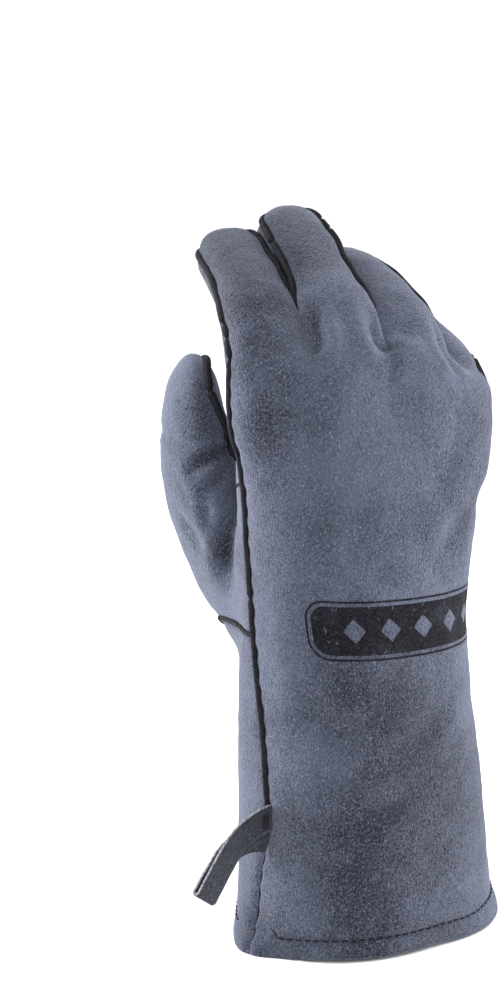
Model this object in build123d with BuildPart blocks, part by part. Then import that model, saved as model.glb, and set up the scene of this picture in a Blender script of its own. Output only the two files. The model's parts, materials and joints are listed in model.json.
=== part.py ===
"""Right-hand split-leather gauntlet glove for barbecue work.

The glove stands on the hem of its cuff: the hem lies in the plane Z = 0 with +Z up.
The back of the hand faces -Y, the palm faces +Y and the thumb is on the -X side.
The cuff is a wide, nearly round tube that flattens towards the knuckles.
The four fingers bend towards the palm about axes along X, and so does the thumb.
All lengths are in millimetres.
"""

from build123d import *
from math import atan2, cos, degrees, radians, sin, tan
import os

os.makedirs("parts", exist_ok=True)

# Materials and sewing
LEATHER = 1.6
LINING = 0.9
LINING_DEPTH = 1.8            # outside of the lining, below the outside of the leather
WELT_PROUD = 1.3              # how far the piping in a seam stands out of the leather
CLEARANCE = 0.3               # between pieces that lie edge to edge
OVERCUT = 2.0                 # how far a cutting shape runs past the end of what it cuts

# Tube of cuff and hand: height, half width, half depth, sideways lean, twist in degrees
STATIONS = [
    (0.0, 61.0, 49.0, 0.0, 18.0),
    (60.0, 57.5, 46.5, 0.0, 18.0),
    (128.0, 53.0, 40.5, 0.0, 15.0),
    (170.0, 54.5, 39.0, 3.0, 8.0),
    (215.0, 57.5, 32.0, 5.5, 2.0),
    (250.0, 64.0, 21.0, 7.0, 0.0),
]
TUBE_SHIFT = 2.0              # the tube's centre line lies this far towards the palm
RIM = 249.2                   # where the hand ends and the knuckles begin
WRIST = 128.0                 # the welt across the palm side, between cuff and palm heel
PALM_SEAM = 222.0             # seam between palm heel and upper palm
HEM_HEIGHT = 8.5
HEM_STITCHES = 68
HEM_STITCH = 3.2
HEM_THREAD = 0.6
HEM_STITCH_HEIGHT = 7.4
HEM_STITCH_GAP_ANGLE = 4.0    # each side of a side seam, which the row of stitches skips

# Angles round the tube, in degrees: 180 is the thumb side, 270 the back, 0 the little finger
SEAM_HALF_ANGLE = 1.5
WELT_HALF_ANGLE = 1.0
BADGE_LOW, BADGE_HIGH = 134.0, 160.0
BADGE_HALF_ANGLE = 60.0
BADGE_THICKNESS = 0.4

# Digits: hinge centre, bend at rest, reach from hinge to tip, half width, half thickness
KNUCKLE_HEIGHT = 262.0
KNUCKLE_REACH = 12.5          # from the hinge centre to each end of the knuckle's sleeve
FINGERS = {
    "index": ((-41.0, 4.0, KNUCKLE_HEIGHT), 56.0, 77.0, 14.4, 14.6),
    "middle": ((-9.0, -3.0, KNUCKLE_HEIGHT), 54.0, 84.0, 14.4, 14.8),
    "ring": ((23.0, -2.0, KNUCKLE_HEIGHT), 58.0, 78.0, 14.4, 14.6),
    "little": ((55.0, 7.0, KNUCKLE_HEIGHT), 66.0, 68.0, 14.0, 13.8),
}
THUMB = ((-53.0, 43.5, 179.0), 23.0, 73.0, 15.0, 21.5)
THUMB_KNUCKLE_REACH = 8.0
THUMB_ROOT_DEPTH = 76.0       # from the hinge back to the root's narrow end, inside the hand
THUMB_ROOT_SHIFT = 22.0       # how far that end lies towards the middle of the hand
THUMB_ROOT_SHARE = 0.65       # size of that end against the thumb's own section
# Share of the length and share of the section's size, from the base to the rounded tip
DIGIT_TAPER = [(0.0, 1.0), (0.45, 0.98), (0.8, 0.92), (0.94, 0.72), (1.0, 0.36)]
GUSSET_ANGLE = 48.0           # width of the strip along the side of a finger
GUSSET_GAP_ANGLE = 1.0

# Hanging loop, sewn into the seam on the thumb side of the cuff
LOOP_HEIGHT = 59.5
LOOP_WIDTH = 12.0
LOOP_BEND_RADIUS = 30.0
LOOP_HALF_THICKNESS = 4.6
LOOP_HALF_EYE = 3.0
LOOP_STEM_START = 1.6         # clear of the seam when the loop swings
LOOP_STEM_LENGTH = 5.0
LOOP_STEM_HALF_THICKNESS = 1.6
LOOP_EYE_ANGLES = (3, 80)     # where the gap between the strap's two layers ends, along its arc
LOOP_BAR_OFFSET = (2.5, -0.6)  # middle of the bar of stitches, from the stem's end and its middle
LOOP_BAR_LENGTH = 8.0


def write(piece, name):
    """Label a finished piece and write it to its own file."""
    piece.part.label = name
    export_step(piece.part, f"parts/{name}.step")


def station(height):
    """Half width, half depth, lean and twist of the tube of cuff and hand at a height."""
    for low, high in zip(STATIONS, STATIONS[1:]):
        if height <= high[0]:
            break
    share = (height - low[0]) / (high[0] - low[0])
    return [a + share * (b - a) for a, b in zip(low[1:], high[1:])]


def heights(low, high):
    """The two given heights, with every station that lies between them."""
    between = [s[0] for s in STATIONS if low + CLEARANCE < s[0] < high - CLEARANCE]
    return [low, *between, high]


def tube_plane(height):
    """Section plane of the tube, with its x axis along the section's width."""
    _, _, lean, twist = station(height)
    across = (cos(radians(twist)), sin(radians(twist)), 0)
    return Plane(origin=(lean, TUBE_SHIFT, height), x_dir=across, z_dir=(0, 0, 1))


def ellipse_arc(x_radius, y_radius, start, end):
    """Arc of an ellipse about the origin between two angles."""
    return EllipticalCenterArc((0, 0), x_radius, y_radius, start, arc_size=end - start)


def tube_wall(low, high, start, end, outside, inside):
    """Part of the tube's wall between two heights, two angles and two depths in the leather."""
    with BuildPart() as wall:
        for height in heights(low, high):
            half_width, half_depth, _, _ = station(height)
            with BuildSketch(tube_plane(height)):
                with BuildLine():
                    outer = ellipse_arc(half_width - outside, half_depth - outside, start, end)
                    inner = ellipse_arc(half_width - inside, half_depth - inside, start, end)
                    Line(outer @ 0, inner @ 0)
                    Line(outer @ 1, inner @ 1)
                make_face()
        loft(ruled=True)
    return wall


def tube_ring(low, high, outside, inside):
    """A closed ring of the tube between two heights and two depths."""
    with BuildPart() as ring:
        for height in heights(low, high):
            half_width, half_depth, _, _ = station(height)
            with BuildSketch(tube_plane(height)):
                Ellipse(half_width - outside, half_depth - outside)
        loft(ruled=True)
        for height in heights(low - OVERCUT, high + OVERCUT):
            half_width, half_depth, _, _ = station(height)
            with BuildSketch(tube_plane(height)):
                Ellipse(half_width - inside, half_depth - inside)
        loft(ruled=True, mode=Mode.SUBTRACT)
    return ring


def tube_core():
    """The space that the hand's leather encloses, as one solid up to its outer surface."""
    with BuildPart() as core:
        for height in heights(0.0, RIM + OVERCUT):
            half_width, half_depth, _, _ = station(height)
            with BuildSketch(tube_plane(height)):
                Ellipse(half_width, half_depth)
        loft(ruled=True)
    return core.part


def digit_axis(bend):
    """Direction along a digit that is bent towards the palm by an angle."""
    return Vector(0, sin(radians(bend)), cos(radians(bend)))


def digit_plane(digit, distance):
    """Section plane of a digit: z runs to the tip and y towards the palm."""
    hinge, bend, _, _, _ = digit
    along = digit_axis(bend)
    return Plane(origin=Vector(*hinge) + along * distance, x_dir=(1, 0, 0), z_dir=along)


def digit_sections(digit, reach, depth, overcut=0.0):
    """Distance, half width and half thickness along a digit's surface at a depth."""
    _, _, length, half_width, half_thickness = digit
    base = reach + CLEARANCE
    sections = []
    for share, size in DIGIT_TAPER:
        distance = base + share * (length - depth - base)
        if share == 0.0:
            distance -= overcut
        sections.append((distance, half_width * size - depth, half_thickness * size - depth))
    return sections


def digit_core(digit, reach, depth):
    """The closed stall-shaped space below a digit's surface at a depth, open at its base."""
    with BuildPart() as core:
        for distance, half_width, half_thickness in digit_sections(digit, reach, depth, OVERCUT):
            with BuildSketch(digit_plane(digit, distance)):
                Ellipse(half_width, half_thickness)
        loft(ruled=True)
    return core.part


def digit_wall(digit, reach, start, end):
    """The leather of a digit between two angles, closed over the tip."""
    core = digit_core(digit, reach, LEATHER)
    with BuildPart() as wall:
        for distance, half_width, half_thickness in digit_sections(digit, reach, 0.0):
            with BuildSketch(digit_plane(digit, distance)):
                with BuildLine():
                    arc = ellipse_arc(half_width, half_thickness, start, end)
                    Line(arc @ 0, (0, 0))
                    Line((0, 0), arc @ 1)
                make_face()
        loft(ruled=True)
        add(core, mode=Mode.SUBTRACT)
    return wall


def digit_lining(digit, reach):
    """The cloth lining of a digit, as one seamless stall inside its leather."""
    core = digit_core(digit, reach, LINING_DEPTH + LINING)
    with BuildPart() as lining:
        for distance, half_width, half_thickness in digit_sections(digit, reach, LINING_DEPTH):
            with BuildSketch(digit_plane(digit, distance)):
                Ellipse(half_width, half_thickness)
        loft(ruled=True)
        add(core, mode=Mode.SUBTRACT)
    return lining


def digit_welt(digit, reach, across_thickness=False):
    """Piping that runs up one side of a digit, over its tip and down the other side."""
    hinge, bend, length, _, _ = digit
    along = digit_axis(bend)
    across = Vector(0, along.Z, -along.Y) if across_thickness else Vector(1, 0, 0)
    plane = Plane(origin=Vector(*hinge), x_dir=across, z_dir=across.cross(along))
    outline = []
    for distance, half_width, half_thickness in digit_sections(digit, reach, 0.0):
        half = half_thickness if across_thickness else half_width
        outline.append((half, distance))
    bead = []
    for gap in (LINING_DEPTH - LEATHER, WELT_PROUD):
        side = [(half + gap, distance) for half, distance in outline[:-1]]
        half_tip = outline[-1][0] + gap
        tip = length + gap
        bead.append([*side, (half_tip, tip), (-half_tip, tip), *[(-x, y) for x, y in side[::-1]]])
    with BuildPart() as welt:
        with BuildSketch(plane):
            with BuildLine():
                Polyline(*bead[1], *bead[0][::-1], close=True)
            make_face()
        extrude(amount=HEM_THREAD, both=True)
    return welt


def knuckle_sleeve(digit):
    """The leather that turns the corner between the hand and a bent finger."""
    (x, y, height), bend, _, half_width, half_thickness = digit
    turn_radius = KNUCKLE_REACH / tan(radians(bend / 2))
    start = height - KNUCKLE_REACH
    with BuildPart() as sleeve:
        with BuildSketch(Plane(origin=(x, y, start))):
            Ellipse(half_width, half_thickness)
            Ellipse(half_width - LEATHER, half_thickness - LEATHER, mode=Mode.SUBTRACT)
        revolve(axis=Axis((0, y + turn_radius, start), (-1, 0, 0)), revolution_arc=bend)
    return sleeve


def thumb_root_core(depth, overcut=0.0):
    """The solid cone that joins the thumb to the palm heel, at a depth below its leather."""
    hinge, bend, length, half_width, half_thickness = THUMB
    inner_hinge = (hinge[0] + THUMB_ROOT_SHIFT, hinge[1], hinge[2])
    share = THUMB_ROOT_SHARE
    inner = (inner_hinge, bend, length, half_width * share, half_thickness * share)
    ends = [(inner, -THUMB_ROOT_DEPTH), (THUMB, -THUMB_KNUCKLE_REACH + overcut)]
    with BuildPart() as core:
        for digit, distance in ends:
            with BuildSketch(digit_plane(digit, distance)):
                Ellipse(digit[3] - depth, digit[4] - depth)
        loft(ruled=True)
    return core.part


def hand_panels():
    """The leather panels of cuff, back and palm."""
    seam = SEAM_HALF_ANGLE
    edge = CLEARANCE / 2
    root = thumb_root_core(0.0, OVERCUT)
    write(tube_wall(0.0, RIM, 180 + seam, 360 - seam, 0.0, LEATHER), "back_panel")
    write(
        tube_wall(0.0, WRIST - 1.0 - edge, seam, 180 - seam, 0.0, LEATHER), "cuff_front_panel"
    )
    write(tube_wall(PALM_SEAM + edge, RIM, seam, 180 - seam, 0.0, LEATHER), "upper_palm_panel")
    heel = tube_wall(WRIST + 1.0 + edge, PALM_SEAM - edge, seam, 180 - seam, 0.0, LEATHER)
    with BuildPart() as palm_heel_panel:
        add(heel.part)
        add(root, mode=Mode.SUBTRACT)
    write(palm_heel_panel, "palm_heel_panel")


def thumb_root():
    """The part of the palm heel that rises into the thumb."""
    with BuildPart() as root:
        add(thumb_root_core(0.0))
        add(thumb_root_core(LEATHER, OVERCUT), mode=Mode.SUBTRACT)
        add(tube_core(), mode=Mode.SUBTRACT)
        split(bisect_by=Plane.XY.offset(WRIST + 1.0 + CLEARANCE), keep=Keep.TOP)
    write(root, "thumb_root_panel")


def hand_linings():
    """The cloth inside cuff and hand."""
    inside = LINING_DEPTH + LINING
    write(tube_ring(HEM_HEIGHT + CLEARANCE, WRIST - CLEARANCE, LINING_DEPTH, inside), "cuff_lining")
    upper = tube_ring(WRIST, RIM, LINING_DEPTH, inside)
    with BuildPart() as hand_lining:
        add(upper.part)
        add(thumb_root_core(0.0, OVERCUT), mode=Mode.SUBTRACT)
    write(hand_lining, "hand_lining")


def hand_welts():
    """Piping in the side seams and across the wrist, and the plain seam below the loop."""
    half = WELT_HALF_ANGLE
    proud = -WELT_PROUD
    loop_top = LOOP_HEIGHT + LOOP_WIDTH / 2 + 1.0
    write(tube_wall(loop_top, RIM, 180 - half, 180 + half, proud, LEATHER), "thumb_side_welt")
    write(tube_wall(0.0, RIM, -half, half, proud, LEATHER), "little_side_welt")
    seam_edge = -LEATHER / 4
    plain = tube_wall(0.0, loop_top - CLEARANCE, 180 - half, 180 + half, seam_edge, LEATHER)
    write(plain, "cuff_side_seam")
    seam = SEAM_HALF_ANGLE
    across = tube_wall(WRIST - 1.0, WRIST + 1.0, seam, 180 - seam, proud, LEATHER)
    write(across, "wrist_welt")


def hem():
    """The turned-in edge of the cuff, and the row of stitches that holds it."""
    band = tube_ring(0.0, HEM_HEIGHT, LINING_DEPTH, LINING_DEPTH + LEATHER)
    write(band, "hem_band")
    half_width, half_depth, _, twist = station(HEM_STITCH_HEIGHT)
    plane = tube_plane(HEM_STITCH_HEIGHT)
    proud = LINING_DEPTH - LEATHER + HEM_THREAD / 2
    with BuildPart() as hem_stitches:
        for n in range(HEM_STITCHES):
            turn = radians(360 * (n + 0.5) / HEM_STITCHES)
            if abs(sin(turn)) < sin(radians(HEM_STITCH_GAP_ANGLE)):
                continue
            place = plane.from_local_coords(
                ((half_width + proud) * cos(turn), (half_depth + proud) * sin(turn), 0)
            )
            tangent = twist + degrees(atan2(half_depth * cos(turn), -half_width * sin(turn)))
            with Locations(Location(place, (0, 0, tangent))):
                Box(HEM_STITCH, HEM_THREAD, HEM_THREAD)
    write(hem_stitches, "hem_stitches")


def badge():
    """The plain printed patch round the back of the wrist."""
    start = 270 - BADGE_HALF_ANGLE
    end = 270 + BADGE_HALF_ANGLE
    gap = LINING_DEPTH - LEATHER
    patch = tube_wall(BADGE_LOW, BADGE_HIGH, start, end, -gap - BADGE_THICKNESS, -gap)
    write(patch, "badge_print")


def finger(name, digit):
    """One finger: back and front leather, gussets beside its neighbours, piping and lining."""
    gap = GUSSET_GAP_ANGLE
    reach = KNUCKLE_REACH
    front_start = gap / 2
    front_end = 180 - gap / 2
    if name != "little":
        gusset = digit_wall(digit, reach, gap / 2, GUSSET_ANGLE)
        write(gusset, f"{name}_gusset_little_side")
        front_start = GUSSET_ANGLE + gap
    if name != "index":
        gusset = digit_wall(digit, reach, 180 - GUSSET_ANGLE, 180 - gap / 2)
        write(gusset, f"{name}_gusset_thumb_side")
        front_end = 180 - GUSSET_ANGLE - gap
    write(digit_wall(digit, reach, front_start, front_end), f"{name}_front")
    write(digit_wall(digit, reach, 180 + gap / 2, 360 - gap / 2), f"{name}_back")
    write(digit_lining(digit, reach), f"{name}_lining")
    write(digit_welt(digit, reach), f"{name}_welt")
    write(knuckle_sleeve(digit), f"{name}_knuckle_sleeve")


def thumb():
    """The thumb: an outer and an inner panel, piping round its edge, lining and sleeve."""
    gap = GUSSET_GAP_ANGLE / 2
    reach = THUMB_KNUCKLE_REACH
    write(digit_wall(THUMB, reach, 90 + gap, 270 - gap), "thumb_outer_panel")
    write(digit_wall(THUMB, reach, 270 + gap, 450 - gap), "thumb_inner_panel")
    write(digit_lining(THUMB, reach), "thumb_lining")
    write(digit_welt(THUMB, reach, across_thickness=True), "thumb_welt")
    half_width, half_thickness = THUMB[3:]
    with BuildPart() as sleeve:
        with BuildSketch(digit_plane(THUMB, -reach + CLEARANCE)):
            Ellipse(half_width, half_thickness)
            Ellipse(half_width - LEATHER, half_thickness - LEATHER, mode=Mode.SUBTRACT)
        extrude(amount=2 * reach - CLEARANCE)
    write(sleeve, "thumb_knuckle_sleeve")


def hanging_loop():
    """A folded leather strap that leaves the side seam and droops, with its bar of stitches."""
    half_width, _, _, twist = station(LOOP_HEIGHT)
    outward = Vector(-cos(radians(twist)), -sin(radians(twist)), 0)
    root = tube_plane(LOOP_HEIGHT).origin + outward * (half_width + LEATHER / 4)
    plane = Plane(origin=root, x_dir=outward, z_dir=outward.cross(Vector(0, 0, 1)))
    half = LOOP_WIDTH / 2
    centre = (LOOP_STEM_LENGTH, -LOOP_BEND_RADIUS)
    outer = LOOP_BEND_RADIUS + half
    inner = LOOP_BEND_RADIUS - half
    end_angle, root_angle = LOOP_EYE_ANGLES
    with BuildPart() as loop:
        with BuildSketch(plane):
            with BuildLine():
                far = CenterArc(centre, outer, 0, 90)
                near = CenterArc(centre, inner, 0, 90)
                Line(far @ 0, near @ 0)
                Line(far @ 1, near @ 1)
            make_face()
        extrude(amount=LOOP_HALF_THICKNESS, both=True)
        with BuildSketch(plane):
            with BuildLine():
                far = CenterArc(centre, outer + OVERCUT, end_angle, root_angle - end_angle)
                near = CenterArc(centre, inner - OVERCUT, end_angle, root_angle - end_angle)
                Line(far @ 0, near @ 0)
                Line(far @ 1, near @ 1)
            make_face()
        extrude(amount=LOOP_HALF_EYE, both=True, mode=Mode.SUBTRACT)
        with BuildSketch(plane):
            with Locations(((LOOP_STEM_START + LOOP_STEM_LENGTH) / 2, 0)):
                Rectangle(LOOP_STEM_LENGTH - LOOP_STEM_START, LOOP_WIDTH)
        extrude(amount=LOOP_STEM_HALF_THICKNESS, both=True)
    write(loop, "loop_strap")
    bar_x = LOOP_STEM_LENGTH + LOOP_BAR_OFFSET[0]
    bar_depth = LOOP_HALF_THICKNESS + HEM_THREAD / 2
    with BuildPart() as loop_stitches:
        for side in (1, -1):
            for n in range(-1, 2):
                place = plane.from_local_coords((bar_x + n, LOOP_BAR_OFFSET[1], side * bar_depth))
                with Locations(Location(place, (0, 0, twist))):
                    Box(HEM_THREAD, HEM_THREAD, LOOP_BAR_LENGTH)
    write(loop_stitches, "loop_stitches")


hand_panels()
thumb_root()
hand_linings()
hand_welts()
hem()
badge()
for finger_name, finger_sizes in FINGERS.items():
    finger(finger_name, finger_sizes)
thumb()
hanging_loop()
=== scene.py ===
"""Looks for the right-hand suede gauntlet glove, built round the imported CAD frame."""

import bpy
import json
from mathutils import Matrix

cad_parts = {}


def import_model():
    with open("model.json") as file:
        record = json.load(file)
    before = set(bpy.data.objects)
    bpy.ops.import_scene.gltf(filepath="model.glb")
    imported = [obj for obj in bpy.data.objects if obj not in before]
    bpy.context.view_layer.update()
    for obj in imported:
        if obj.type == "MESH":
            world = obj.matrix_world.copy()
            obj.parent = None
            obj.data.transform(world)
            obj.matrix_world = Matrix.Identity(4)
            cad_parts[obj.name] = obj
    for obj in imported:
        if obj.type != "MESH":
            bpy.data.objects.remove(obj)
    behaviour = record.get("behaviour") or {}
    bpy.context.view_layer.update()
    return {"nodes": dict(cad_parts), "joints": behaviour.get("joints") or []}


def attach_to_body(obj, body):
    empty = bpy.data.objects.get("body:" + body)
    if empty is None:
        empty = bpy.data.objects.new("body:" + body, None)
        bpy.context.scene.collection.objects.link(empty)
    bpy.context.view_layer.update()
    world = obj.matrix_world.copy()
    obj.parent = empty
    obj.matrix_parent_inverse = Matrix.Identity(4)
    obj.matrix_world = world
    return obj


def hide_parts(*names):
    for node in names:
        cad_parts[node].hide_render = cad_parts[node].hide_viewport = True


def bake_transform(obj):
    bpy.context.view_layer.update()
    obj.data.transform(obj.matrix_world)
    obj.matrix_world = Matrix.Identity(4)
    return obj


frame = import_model()

import json
from math import cos, pi, radians, sin

import bmesh
import bpy
import numpy as np
from mathutils import Vector, noise

MM = 0.001                    # every shape below is worked out in millimetres
SKIN_CELL = 1.7               # grid for the leather's surface
LINING_CELL = 3.4
PRINT_CELL = 1.2
LEATHER = 1.5                 # thickness
LINING_DEPTH = 2.1            # from the leather's outside to the lining's
LINING = 0.8                  # thickness
SEAM_GROOVE = 0.9             # how deep the leather is pulled in along a seam
SEAM_GROOVE_WIDTH = 2.6
WELT_RADIUS = 1.55            # the side seams' piping
WRIST_WELT = 1.25
PALM_WELT = 0.8
FINGER_WELT = 1.7
# the thumb's piping is drawn wide, so that its black also stands for the shadow in the gap between the
# thumb's two panels: part piping, part painted shadow
THUMB_WELT_AND_SHADE = 1.9
FAR = 60.0                    # a distance that counts as far away

JOINTS = {joint["name"]: joint for joint in frame["joints"]}
FINGERS = ("index", "middle", "ring", "little")

# Tube of cuff and hand: height, half width, half depth, lean in X, shift in Y, twist in degrees
STATIONS = np.array([
    (-20.0, 61.8, 49.8, 8.4, 2.0, 18.0),
    (0.0, 60.8, 48.4, 8.0, 2.0, 18.0),
    (30.0, 58.8, 47.2, 6.6, 2.0, 18.0),
    (60.0, 57.2, 46.0, 5.2, 2.0, 18.0),
    (100.0, 54.4, 43.0, 2.6, 2.0, 17.0),
    (126.0, 52.4, 40.6, 0.6, 2.0, 15.0),
    (150.0, 52.4, 39.6, 1.0, 2.0, 11.0),
    (180.0, 52.0, 37.0, 1.0, 2.0, 6.0),
    (200.0, 53.0, 34.0, 1.4, 2.0, 3.5),
    (215.0, 55.4, 31.0, 2.8, 2.0, 2.0),
    (245.0, 58.9, 22.5, 4.1, 2.0, 0.0),
    (330.0, 58.5, 18.0, 4.5, 2.0, 0.0),
])
TABLE_HEIGHTS = np.arange(-20.0, 330.5, 1.0)


def smooth_table(values, width=21):
    """A column of STATIONS at every millimetre of height, with its corners rounded."""
    table = np.interp(TABLE_HEIGHTS, STATIONS[:, 0], values)
    kernel = np.ones(width) / width
    for _ in range(2):
        padded = np.pad(table, width // 2, mode="edge")
        table = np.convolve(padded, kernel, mode="valid")
    return table


TABLES = [smooth_table(STATIONS[:, column]) for column in range(1, 6)]
RIM_POINT = np.array([7.0, 2.0, 252.0])
RIM_TILT = radians(28.0)      # the hand's end leans as the bent fingers do
RIM_NORMAL = np.array([0.0, sin(RIM_TILT), cos(RIM_TILT)])
RIM_SLOPE = 0.36              # and falls away towards the little finger
RIM_SLOPE_START = 22.0        # from here on, in X
ROUND_RIM = 9.0
HAND_POWER = 2.15             # how square the hand's sections are: 2 is an ellipse
DIGIT_POWER = 2.4
BOX_REACH = 34.0              # a digit is only worked out this near to its centre line
ROOT_CAP = 14.0               # a digit's end inside the hand is closed over this length
FINGER_BLEND = 8.0
THUMB_BLEND = 9.0
THUMB_FADE = (-24.0, -1.0)    # the blend narrows over these distances from the thumb's plane
THUMB_MIN_BLEND = 0.3
STUMP_END = 6.0               # the thumb's root goes on this far past that plane
STUMP_ROUND = 3.0
BODY_START = 4.0              # the leather starts to follow a finger this far below its hinge
THUMB_BODY_START = 8.0        # the same for the thumb, but above its hinge
ULNAR_BULGE = 3.0             # the hand swells on the little finger's side, above the wrist
BULGE_RISE = (138.0, 185.0)
BULGE_FALL = (210.0, 236.0)


def tube_frame(points):
    """Place of each point in the section of the cuff and hand: x, y, half width, half depth."""
    half_width, half_depth, lean, shift, twist = [
        np.interp(points[:, 2], TABLE_HEIGHTS, table) for table in TABLES
    ]
    angle = np.radians(twist)
    x = points[:, 0] - lean
    y = points[:, 1] - shift
    across = x * np.cos(angle) + y * np.sin(angle)
    deep = -x * np.sin(angle) + y * np.cos(angle)
    return across, deep, half_width, half_depth


def ellipse_distance(x, y, half_x, half_y, power):
    """Rough distance from a rounded section's outline, below 0 inside it."""
    u = np.abs(x / half_x) + 1e-6
    v = np.abs(y / half_y) + 1e-6
    size = (u**power + v**power) ** (1 / power)
    slope = size ** (1 - power) * np.hypot(u ** (power - 1) / half_x, v ** (power - 1) / half_y)
    return (size - 1) / slope


def smooth_max(a, b, width):
    """The larger of two values, rounded where they are within width of each other."""
    blend = np.clip(0.5 + 0.5 * (a - b) / width, 0, 1)
    return b + (a - b) * blend + width * blend * (1 - blend)


def smooth_min(a, b, width):
    return -smooth_max(-a, -b, width)


def unit(vectors):
    """The same vectors, each one long."""
    return vectors / (np.linalg.norm(vectors, axis=1, keepdims=True) + 1e-9)


def smooth_step(values, low, high):
    """0 below low, 1 above high, and a smooth rise between them."""
    t = np.clip((values - low) / (high - low), 0, 1)
    return t * t * (3 - 2 * t)


def hand_distance(points):
    """Signed distance from the outside of the cuff and hand, without any digit."""
    across, deep, half_width, half_depth = tube_frame(points)
    height = points[:, 2]
    bulge = smooth_step(height, *BULGE_RISE) * (1 - smooth_step(height, *BULGE_FALL))
    half_width = half_width + ULNAR_BULGE * bulge * smooth_step(across / half_width, 0.3, 0.9)
    wall = ellipse_distance(across, deep, half_width, half_depth, HAND_POWER)
    slope = RIM_SLOPE * np.maximum(points[:, 0] - RIM_SLOPE_START, 0)
    end = (points - RIM_POINT) @ RIM_NORMAL + slope
    return smooth_max(wall, end, ROUND_RIM)


class Digit:
    """A finger or thumb: a centre line, and the half sizes of its sections along it."""

    def __init__(self, line, across, half_x, half_y, tip):
        self.line = line
        step = np.diff(line, axis=0)
        lengths = np.linalg.norm(step, axis=1)
        self.place = np.concatenate([[0.0], np.cumsum(lengths)])
        self.step = step
        self.lengths = lengths
        self.across = across
        self.half_x = half_x
        self.half_y = half_y
        self.tip = tip
        self.low = line.min(axis=0) - BOX_REACH
        self.high = line.max(axis=0) + BOX_REACH

    def locate(self, points):
        """Place along the line, offsets across and to the palm side, and how far past an end."""
        start = self.line[:-1]
        best = np.full(len(points), 1e9)
        along = np.zeros(len(points))
        x = np.zeros(len(points))
        y = np.zeros(len(points))
        over = np.zeros(len(points))
        last = len(self.step) - 1
        for k, (origin, step, length) in enumerate(zip(start, self.step, self.lengths)):
            unit = step / length
            offset = points - origin
            raw = offset @ unit
            t = np.clip(raw, 0.0, length)
            gap = offset - t[:, None] * unit
            distance = np.einsum("ij,ij->i", gap, gap)
            side = self.across - (self.across @ unit) * unit
            side /= np.linalg.norm(side)
            palm = np.cross(unit, side)
            closer = distance < best
            best[closer] = distance[closer]
            along[closer] = self.place[k] + t[closer]
            x[closer] = (offset @ side)[closer]
            y[closer] = (offset @ palm)[closer]
            over[closer] = (raw - t)[closer] if k in (0, last) else 0.0
        return along, x, y, over

    def distance(self, points):
        """Rough signed distance from the digit's surface, in millimetres."""
        out = np.full(len(points), FAR)
        near = np.all((points > self.low) & (points < self.high), axis=1)
        if not near.any():
            return out
        along, x, y, over = self.locate(points[near])
        half_x = np.interp(along, *self.half_x)
        half_y = np.interp(along, *self.half_y)
        end = self.place[-1]
        beyond = np.clip(along + np.maximum(over, 0) - (end - self.tip), 0, None)
        below = np.maximum(-over, 0)
        u = np.abs(x / half_x) + 1e-6
        v = np.abs(y / half_y) + 1e-6
        w = beyond / self.tip + below / ROOT_CAP
        size = (u**DIGIT_POWER + v**DIGIT_POWER + w**DIGIT_POWER) ** (1 / DIGIT_POWER)
        out[near] = (size - 1) * np.minimum(half_x, half_y)
        return out


def bent_line(hinge, bend, length, back, curl, lean=0.0):
    """A finger's centre line in the plane of its bend: straight, round the knuckle, then curling."""
    step = 2.0
    turn_length = 34.0
    count = int((back + length) / step)
    point = np.array([0.0, 0.0])
    line = [point]
    for k in range(count):
        s = (k + 0.5) * step - back
        turn = np.clip((s + turn_length / 2) / turn_length, 0, 1)
        tail = np.clip(s / length, 0, 1)
        angle = bend * turn + curl * tail**1.2
        point = point + step * np.array([np.sin(angle), np.cos(angle)])
        line.append(point)
    line = np.array(line)
    nearest = np.searchsorted(np.arange(len(line)) * step, back)
    line = line - line[nearest]
    out = np.zeros((len(line), 3))
    out[:, 0] = hinge[0] + lean * np.clip(np.arange(len(line)) * step - back, 0, None)
    out[:, 1] = hinge[1] + line[:, 0]
    out[:, 2] = hinge[2] + line[:, 1]
    return out


def rest_hinge(name):
    """A joint's place at rest, in millimetres."""
    return np.array(JOINTS[name]["pos_m"]) / MM


# Each finger: curl towards its tip, length, sideways lean, half width, root's offset from the hinge
FINGER_SHAPES = {
    "index": (28.0, 77.0, 0.085, 15.2, (1.6, 0.0, -1.0)),
    "middle": (22.0, 84.0, 0.020, 15.4, (0.0, 0.0, 0.0)),
    "ring": (38.0, 78.0, -0.060, 15.0, (-2.6, 0.0, -6.7)),
    "little": (-8.0, 68.0, -0.245, 14.2, (-8.0, 0.0, -26.0)),
}
# Half width at the knuckle: wider than the finger, so that neighbours join up to their crotch
KNUCKLE_HALF = {"index": 17.0, "middle": 18.6, "ring": 18.6, "little": 15.0}
FINGER_BACK = 30.0            # how far a finger's centre line runs back into the hand
ACROSS = np.array([1.0, 0.0, 0.0])
UP = np.array([0.0, 0.0, 1.0])
DIGITS = {}
BODY_PLANES = {}
for finger, (curl, length, lean, half, offset) in FINGER_SHAPES.items():
    hinge = rest_hinge(finger + "_knuckle")
    bend = radians(-JOINTS[finger + "_knuckle"]["range_deg"][0])
    line = bent_line(hinge + offset, bend, length, FINGER_BACK, radians(curl), lean)
    end = FINGER_BACK + length
    wide = KNUCKLE_HALF[finger]
    spots = np.array([0.0, 20.0, 32.0, 50.0, 64.0, end - 20.0, end])
    widths = np.array([wide - 2, wide - 0.4, wide, 0.5 * (wide + half) + 0.4, half, half, half - 0.9])
    depths = (half - 0.2) * np.array([1.0, 1.0, 1.0, 0.98, 0.96, 0.9, 0.84])
    DIGITS[finger] = Digit(line, ACROSS, (spots, widths), (spots, depths), 11.0)
    direction = np.array([0.0, sin(bend / 2), cos(bend / 2)])
    BODY_PLANES[finger] = (hinge - BODY_START * direction, direction)

THUMB_BEND = radians(23.0)
THUMB_AXIS = np.array([0.0, sin(THUMB_BEND), cos(THUMB_BEND)])


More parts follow.
